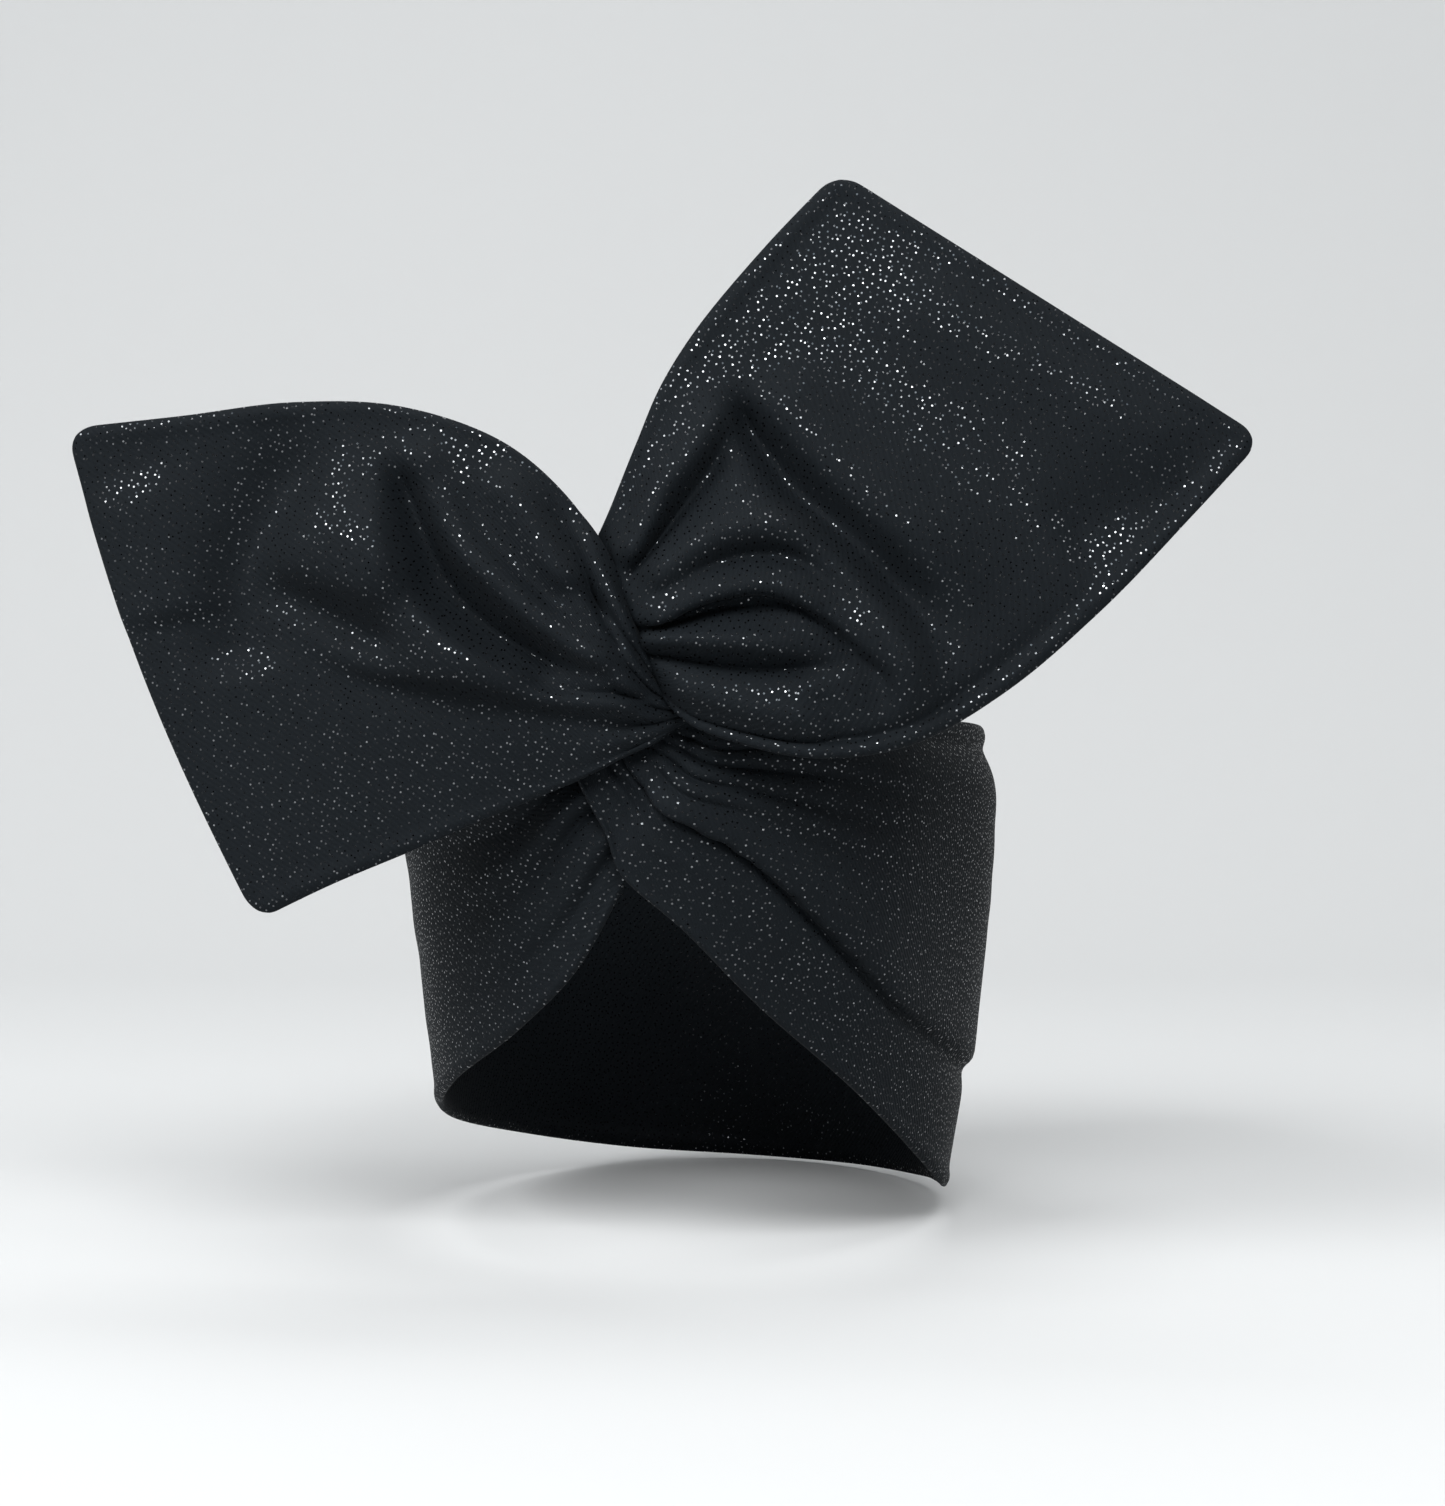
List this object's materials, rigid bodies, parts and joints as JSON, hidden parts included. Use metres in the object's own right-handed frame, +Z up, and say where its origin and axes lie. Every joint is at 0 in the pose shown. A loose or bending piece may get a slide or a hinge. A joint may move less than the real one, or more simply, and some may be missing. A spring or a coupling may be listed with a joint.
{
  "type": "bow headband",
  "caption": "Wired double-layer knit head wrap that crosses over itself at the front, its two ends standing out as the bendable wings of a bow.",
  "frame": {"origin": "on the head's axis, at the level where the head inside the band is widest", "axes": "+Z up, -Y out of the forehead towards the viewer, +X to the wearer's left"},
  "size_m": [0.2845, 0.2247, 0.2706],
  "materials": {
    "glitter_knit": "black knit with fine glitter dots",
    "lining_knit": "the same black glitter knit, facing the head",
    "covered_wire": "thread-covered soft wire",
    "sewing_thread": "black polyester thread"
  },
  "bodies": {
    "band": {"neck_over_face": "glitter_knit", "neck_over_lining": "lining_knit", "right_band_face": "glitter_knit", "right_band_lining": "lining_knit", "back_band_face": "glitter_knit", "back_band_lining": "lining_knit", "left_band_face": "glitter_knit", "left_band_lining": "lining_knit", "neck_under_face": "glitter_knit", "neck_under_lining": "lining_knit", "band_upper_wire": "covered_wire", "band_lower_wire": "covered_wire", "band_upper_seam": "sewing_thread", "band_lower_seam": "sewing_thread"},
    "left_wing": {"left_wing_face": "glitter_knit", "left_wing_lining": "lining_knit", "left_wing_wire": "covered_wire", "left_wing_seam": "sewing_thread"},
    "right_wing": {"right_wing_face": "glitter_knit", "right_wing_lining": "lining_knit", "right_wing_wire": "covered_wire", "right_wing_seam": "sewing_thread"}
  },
  "joints": [
    {"name": "left_wing_bend", "type": "hinge", "parent": "band", "child": "left_wing", "pos_m": [-0.0083, -0.1109, 0.0355], "axis": [0.0799, 0.0496, 0.9956], "range_deg": [-30, 60]},
    {"name": "right_wing_bend", "type": "hinge", "parent": "band", "child": "right_wing", "pos_m": [0.0052, -0.10395, 0.05], "axis": [0.3153, 0.0327, -0.9484], "range_deg": [-20, 60]}
  ]
}
